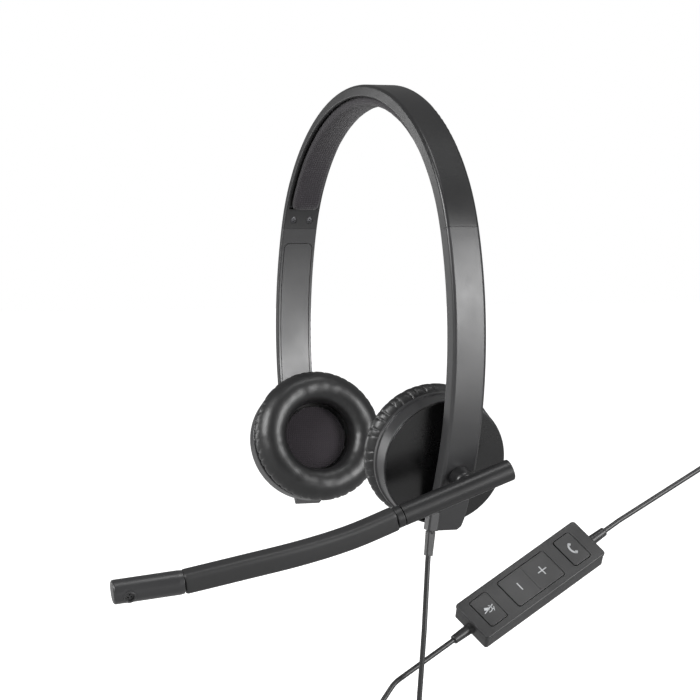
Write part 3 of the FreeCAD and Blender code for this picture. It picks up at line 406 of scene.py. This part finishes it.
def axes_matrix(origin, x, z):
    """Matrix whose local x and z axes point along the given directions."""
    z = Vector(z).normalized()
    x = (Vector(x) - z * Vector(x).dot(z)).normalized()
    y = z.cross(x)
    return Matrix(((x.x, y.x, z.x, origin[0]), (x.y, y.y, z.y, origin[1]), (x.z, y.z, z.z, origin[2]),
                   (0, 0, 0, 1)))


# ------------------------------------------------------------------ head pad
def arch_place(angle, depth, y):
    """Point at an angle from the apex, a depth in from the arch's outer face."""
    sign = 1 if angle >= 0 else -1
    radius, cx, cz = CROWN if abs(angle) <= CROWN_END else (SHOULDER[0], sign * SHOULDER[1], SHOULDER[2])
    a = math.radians(angle)
    return Vector((cx + (radius - depth) * math.sin(a), y, cz + (radius - depth) * math.cos(a)))


def make_head_pad():
    """Fabric over foam, rounded across and closed down at both ends."""
    rows, uvs = [], []
    middle, swing = (PAD_BACK + PAD_FACE) / 2, (PAD_FACE - PAD_BACK) / 2
    for i in range(PAD_STEPS + 1):
        t = i / PAD_STEPS
        angle = -PAD_END + 2 * PAD_END * t
        end = min(t, 1 - t) * 2 * math.radians(PAD_END) * CROWN[0]
        fade = min(1.0, end / PAD_END_RUN)
        round_end = math.sqrt(max(0.0, 1 - (1 - fade) ** 2))
        width = PAD_END_WIDTH + (1 - PAD_END_WIDTH) * round_end
        thickness = PAD_END_SWELL + (1 - PAD_END_SWELL) * round_end
        quilt = PAD_QUILT * noise.noise(Vector((angle * 0.35, 1.7, 0.0)))
        wander = PAD_WANDER * noise.noise(Vector((angle * 0.2, 9.0, 0)))
        row, uv = [], []
        for j in range(PAD_AROUND):
            turn = 2 * math.pi * j / PAD_AROUND
            across, up = math.cos(turn), math.sin(turn)
            y = PAD_HALF_WIDTH * math.copysign(abs(across) ** PAD_SIDE_POWER, across) * width
            swell = math.copysign(abs(up) ** PAD_FACE_POWER, up)
            depth = middle + swell * swing * thickness
            if up > 0:
                depth += quilt + PAD_CROWN * (1 - abs(across)) - PAD_SINK
            row.append(arch_place(angle, depth, y + wander))
            uv.append((math.radians(angle) * (CROWN[0] - PAD_FACE), y + 4.0 * MM * swell))
        rows.append(row)
        uvs.append(uv)
    mesh = grid_mesh("headband_pad", rows, close_columns=True, uvs=uvs, caps=True)
    pad = add_object("headband_pad", mesh, "headband", "pad_fabric")
    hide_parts("head_pad")
    subdivide(pad)


# ------------------------------------------------------------------ ear cushions
def cup_matrix(side):
    """Local z is the cup's outward axis; the origin is the centre of the rim plane."""
    disc, cushion = box_middle(side + "_cup_disc"), box_middle(side + "_cushion")
    outward = (disc - cushion).normalized()
    return axes_matrix(disc - outward * DISC_MID, (0, 0, 1), outward)


def pleat_wave(angle, phase, drift):
    """Rounded gathers with sharp creases between them, irregular in pitch."""
    warped = angle * PLEATS
    for count, amount, shift in drift:
        warped += amount * math.sin(count * angle + shift)
    return 1.0 - 2.2 * math.exp(-5.0 * abs(math.sin((warped + phase) / 2)))


def unit(value):
    """Value limited to the span from 0 to 1."""
    return max(0.0, min(1.0, value))


def cushion_rows(seed):
    """Rows of points round the cushion, each row a closed profile from hole to outer edge."""
    rng = random.Random(seed)
    drift = [(count, rng.uniform(0.5, 1.1), rng.uniform(0, 2 * math.pi)) for count in (3, 5, 8, 13, 21)]
    profile = spline([Vector((r * MM, z * MM, 0)) for r, z in CUSHION_PROFILE], PROFILE_STEPS)
    rows, around = [], PLEATS * STEPS_PER_PLEAT
    for i in range(around):
        angle = 2 * math.pi * i / around
        row = []
        for point in profile:
            r, z = point.x, point.y
            gather = unit((r - GATHER_START) / GATHER_RUN) * unit((z - GATHER_TOP) / GATHER_HEIGHT) ** 1.4
            lean = 0.352 * (z / MM + 6.0)
            r += gather * GATHER_OUT * pleat_wave(angle, lean, drift)
            z -= gather * GATHER_DOWN * pleat_wave(angle, lean + 0.6, drift)
            crown = unit((-z / MM - 9.5) / 3.0) * (1 - gather)
            fold = noise.noise(Vector((6.0 * math.cos(angle), 6.0 * math.sin(angle), 160.0 * r)))
            z += crown * FOLD_HEIGHT * fold
            row.append(Vector((r * math.cos(angle), r * math.sin(angle), z)))
        rows.append(row)
    return rows


def inflate(obj, pinned, cap):
    """Cloth simulation under pressure; every point may move by the cap at most."""
    before = [v.co.copy() for v in obj.data.vertices]
    group = obj.vertex_groups.new(name="pin")
    group.add(pinned, 1.0, "REPLACE")
    cloth = obj.modifiers.new("cloth", "CLOTH")
    settings = cloth.settings
    settings.quality = 6
    settings.mass = 0.25
    settings.tension_stiffness = settings.compression_stiffness = 12
    settings.shear_stiffness = 6
    settings.bending_stiffness = 0.4
    settings.use_pressure = True
    settings.uniform_pressure_force = 4.0
    settings.vertex_group_mass = "pin"
    settings.effector_weights.gravity = 0.0
    cloth.collision_settings.use_collision = False
    scene = bpy.context.scene
    cloth.point_cache.frame_start, cloth.point_cache.frame_end = 1, CLOTH_FRAMES
    for step in range(1, CLOTH_FRAMES + 1):
        scene.frame_set(step)
    evaluated = obj.evaluated_get(bpy.context.evaluated_depsgraph_get())
    after = [v.co.copy() for v in evaluated.data.vertices]
    obj.modifiers.remove(cloth)
    scene.frame_set(1)
    for vertex, a, b in zip(obj.data.vertices, before, after):
        move = b - a
        if move.length > cap:
            move = move.normalized() * cap
        vertex.co = a + move
    obj.data.update()


def make_cushion(side, seed):
    """Gathered leatherette over foam; the gathers and the hole's edge stay as they are drawn."""
    rows = cushion_rows(seed)
    mesh = grid_mesh(side + "_ear_cushion", rows, close_rows=True, close_columns=True)
    cushion = place_object(side + "_ear_cushion", mesh)
    width = len(rows[0])
    gathers = GATHERED_SPAN * PROFILE_STEPS
    pinned = [i for i in range(len(mesh.vertices)) if i % width < HOLE_POINTS or i % width >= gathers]
    inflate(cushion, pinned, CUSHION_SWELL)
    mesh.transform(cup_matrix(side))
    paint(cushion, "leatherette")
    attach(cushion, side + "_cup")
    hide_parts(side + "_cushion")
    subdivide(cushion)


def make_cloth_disc(side):
    """Speaker cloth, drawn slightly proud over the grille."""
    rows, uvs = [], []
    for i in range(CLOTH_RINGS + 1):
        r = CLOTH_RADIUS * max(i, 0.02) / CLOTH_RINGS
        row, uv = [], []
        for j in range(CLOTH_AROUND):
            turn = 2 * math.pi * j / CLOTH_AROUND
            x, y = r * math.cos(turn), r * math.sin(turn)
            z = CLOTH_EDGE - CLOTH_SWELL * (1 - (r / CLOTH_RADIUS) ** 4)
            z += CLOTH_RIPPLE * noise.noise(Vector((x, y, 3.0)) * 220.0)
            row.append(Vector((x, y, z)))
            uv.append((x, y))
        rows.append(row)
        uvs.append(uv)
    mesh = grid_mesh(side + "_cloth", rows, close_columns=True, uvs=uvs, caps=True)
    mesh.transform(cup_matrix(side))
    cloth = add_object(side + "_cloth", mesh, side + "_cup", "speaker_cloth")
    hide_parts(side + "_speaker_cloth")


# ------------------------------------------------------------------ flexible boom sleeve
def joint(name):
    return next(j for j in frame["joints"] if j["name"] == name)


def boom_matrix():
    """Local x runs forward along the boom tube, z outwards from the arm."""
    swing = joint("boom_swing")
    outward = -Vector(swing["axis"])
    down = Vector((outward.z, 0, -outward.x))
    turn = Matrix.Rotation(math.radians(-90 + BOOM_DROP), 3, outward)
    return axes_matrix(swing["pos_m"], turn @ down, outward)


def rounded_section(width, height, radius, steps=6):
    """Points round a rectangle with rounded corners."""
    points = []
    for sx, sy, start in ((1, 1, 0), (-1, 1, 90), (-1, -1, 180), (1, -1, 270)):
        for i in range(steps + 1):
            a = math.radians(start + 90 * i / steps)
            points.append(((width / 2 - radius) * sx + radius * math.cos(a),
                           (height / 2 - radius) * sy + radius * math.sin(a)))
    return points


def make_sleeve():
    """One unbroken rubber sleeve over the boom's bend joint."""
    path = spline([Vector(p) * MM for p in SLEEVE_POINTS], SLEEVE_STEPS)
    section = rounded_section(SLEEVE_WIDTH, SLEEVE_HEIGHT, SLEEVE_ROUND)
    place = boom_matrix()
    rows = []
    last = len(path) - 1
    for i, point in enumerate(path):
        tangent = (path[min(i + 1, last)] - path[max(i - 1, 0)]).normalized()
        local = axes_matrix(point, (0, 0, 1), tangent)
        end = min(i, last - i) / 3.0
        scale = 1.0 if end >= 1 else 0.93 + 0.07 * math.sqrt(1 - (1 - end) ** 2)
        rows.append([place @ local @ Vector((x * scale, y * scale, 0)) for x, y in section])
    mesh = grid_mesh("boom_sleeve", rows, close_columns=True, caps=True)
    sleeve = add_object("boom_sleeve", mesh, None, "boom_rubber")
    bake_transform(sleeve)
    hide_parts("sleeve_rear", "sleeve_front")


# ------------------------------------------------------------------ key symbols
def key_frame():
    """Matrix with local x along the controller towards its plug end and z out of its face."""
    back = next(m for m in frame["record"]["mounts"] if m["name"] == "controller_back")
    normal = -Vector(back["axis"])
    along = box_middle("call_key") - box_middle("mute_key")
    return axes_matrix((0, 0, 0), along, normal)


def key_top(node):
    """Matrix at the centre of a key's face."""
    place = key_frame()
    inverse = place.inverted()
    corners = [inverse @ v.co for v in NODES[node].data.vertices]
    xs, ys = [c.x for c in corners], [c.y for c in corners]
    height = max(c.z for c in corners)
    return place @ Matrix.Translation(((min(xs) + max(xs)) / 2, (min(ys) + max(ys)) / 2, height))


def stroke_mesh(name, strokes, place, turn=0.0):
    """Thin raised printing: each stroke is a list of points in millimetres with a width."""
    bm = bmesh.new()
    spin = Matrix.Rotation(math.radians(turn), 4, "Z")
    for points, width in strokes:
        line = [Vector((x * MM, y * MM, 0)) for x, y in points]
        left, right = [], []
        for i, p in enumerate(line):
            d = (line[min(i + 1, len(line) - 1)] - line[max(i - 1, 0)]).normalized()
            side = Vector((-d.y, d.x, 0)) * width * MM / 2
            left.append(p + side)
            right.append(p - side)
        ring = left + right[::-1]
        low = [bm.verts.new(place @ spin @ (p + Vector((0, 0, -SYMBOL_SINK)))) for p in ring]
        high = [bm.verts.new(place @ spin @ (p + Vector((0, 0, SYMBOL_STAND)))) for p in ring]
        count = len(line)
        for i in range(count - 1):
            a, b, c, d = i, i + 1, 2 * count - 2 - i, 2 * count - 1 - i
            bm.faces.new((high[a], high[d], high[c], high[b]))
            bm.faces.new((low[a], low[b], low[c], low[d]))
        for i in range(len(ring)):
            k = (i + 1) % len(ring)
            bm.faces.new((low[i], low[k], high[k], high[i]))
    bmesh.ops.recalc_face_normals(bm, faces=bm.faces)
    mesh = bpy.data.meshes.new(name)
    bm.to_mesh(mesh)
    bm.free()
    return mesh


def arc_points(cy, radius, start, end, steps=10):
    """Points along an arc centred on the y axis, with its angles in degrees."""
    angles = [math.radians(start + (end - start) * i / steps) for i in range(steps + 1)]
    return [(radius * math.cos(a), cy + radius * math.sin(a)) for a in angles]


def make_symbols():
    """A struck-out microphone, a handset, a minus and a plus."""
    mic = [([(0, -0.3), (0, 1.9)], 1.3), (arc_points(0, 1.55, 180, 360), 0.34),
           ([(0, -1.55), (0, -2.4)], 0.36), ([(-1.0, -2.4), (1.0, -2.4)], 0.36),
           ([(-2.1, 1.9), (2.1, -2.1)], 0.42)]
    handset = [(arc_points(2.9, 3.7, 225, 315), 0.8), ([(-2.8, 0.1), (-1.9, 1.0)], 1.1),
               ([(1.9, 1.0), (2.8, 0.1)], 1.1)]
    minus = [([(-2.0, 0), (2.0, 0)], 0.5)]
    plus = [([(-2.3, 0), (2.3, 0)], 0.5), ([(0, -2.3), (0, -0.25)], 0.5), ([(0, 0.25), (0, 2.3)], 0.5)]
    minus_place, plus_place = [key_top("volume_key") @ Matrix.Translation((x, 0, VOLUME_SIGN_Z))
                               for x in (-VOLUME_SIGN_X, VOLUME_SIGN_X)]
    jobs = [("mute_symbol", mic, key_top("mute_key"), "mute", 60.0),
            ("call_symbol", handset, key_top("call_key"), "call", -90.0),
            ("minus_symbol", minus, minus_place, "volume", 90.0),
            ("plus_symbol", plus, plus_place, "volume", 0.0)]
    for name, strokes, place, body, turn in jobs:
        add_object(name, stroke_mesh(name, strokes, place, turn), body, "key_rubber", "key_print")


make_head_pad()
for cup_side, cup_seed in CUSHION_SEEDS.items():
    make_cushion(cup_side, cup_seed)
    make_cloth_disc(cup_side)
make_sleeve()
make_symbols()


# ------------------------------------------------------------------ camera, floor and light
def make_camera():
    level = math.cos(CAMERA_ELEVATION)
    back = Vector((math.sin(CAMERA_AZIMUTH) * level, -math.cos(CAMERA_AZIMUTH) * level,
                   math.sin(CAMERA_ELEVATION)))
    data = bpy.data.cameras.new("camera")
    data.lens = CAMERA_LENS
    data.sensor_width = SENSOR_WIDTH
    data.clip_start, data.clip_end = 0.05, 20.0
    camera = place_object("camera", data)
    camera.location = CAMERA_PLACE
    camera.rotation_euler = back.to_track_quat("Z", "Y").to_euler()
    bpy.context.scene.camera = camera


def make_floor():
    """Pale floor that shows as white to the camera and grey to the object."""
    mesh = bpy.data.meshes.new("floor")
    size, z = FLOOR_SIZE, FLOOR_LEVEL
    corners = [(-size, -size, z), (size, -size, z), (size, size, z), (-size, size, z)]
    mesh.from_pydata(corners, [], [(0, 1, 2, 3)])
    floor = place_object("floor", mesh)
    s = Shader("floor")
    s.set(color=(0.6, 0.6, 0.6), rough=0.95, spec=0.0)
    s.link(s.mix(s.noise(3.0), (0.97, 0.97, 0.97), (1.0, 1.0, 1.0)), s.bsdf.inputs["Emission Color"])
    s.link(s.add("ShaderNodeLightPath").outputs["Is Camera Ray"], s.bsdf.inputs["Emission Strength"])
    mesh.materials.append(s.mat)


def make_room():
    """Soft even light from all round, with a plain white background for the camera alone."""
    world = bpy.data.worlds.new("studio")
    bpy.context.scene.world = world
    world.use_nodes = True
    tree = world.node_tree
    soft, white = tree.nodes["Background"], tree.nodes.new("ShaderNodeBackground")
    path, mix = tree.nodes.new("ShaderNodeLightPath"), tree.nodes.new("ShaderNodeMixShader")
    for background, strength in ((soft, ROOM_LIGHT), (white, 1.0)):
        background.inputs["Color"].default_value = (1, 1, 1, 1)
        background.inputs["Strength"].default_value = strength
    tree.links.new(path.outputs["Is Camera Ray"], mix.inputs[0])
    tree.links.new(soft.outputs[0], mix.inputs[1])
    tree.links.new(white.outputs[0], mix.inputs[2])
    tree.links.new(mix.outputs[0], tree.nodes["World Output"].inputs["Surface"])


def make_softbox(name, place, target, width, height, power):
    light = bpy.data.lights.new(name, "AREA")
    light.shape = "RECTANGLE"
    light.size, light.size_y = width, height
    light.energy = power
    obj = place_object(name, light)
    obj.location = place
    obj.rotation_euler = (Vector(place) - Vector(target)).to_track_quat("Z", "Y").to_euler()


make_camera()
make_floor()
make_room()
for softbox in SOFTBOXES:
    make_softbox(*softbox)
bpy.context.scene.view_settings.view_transform = "Standard"
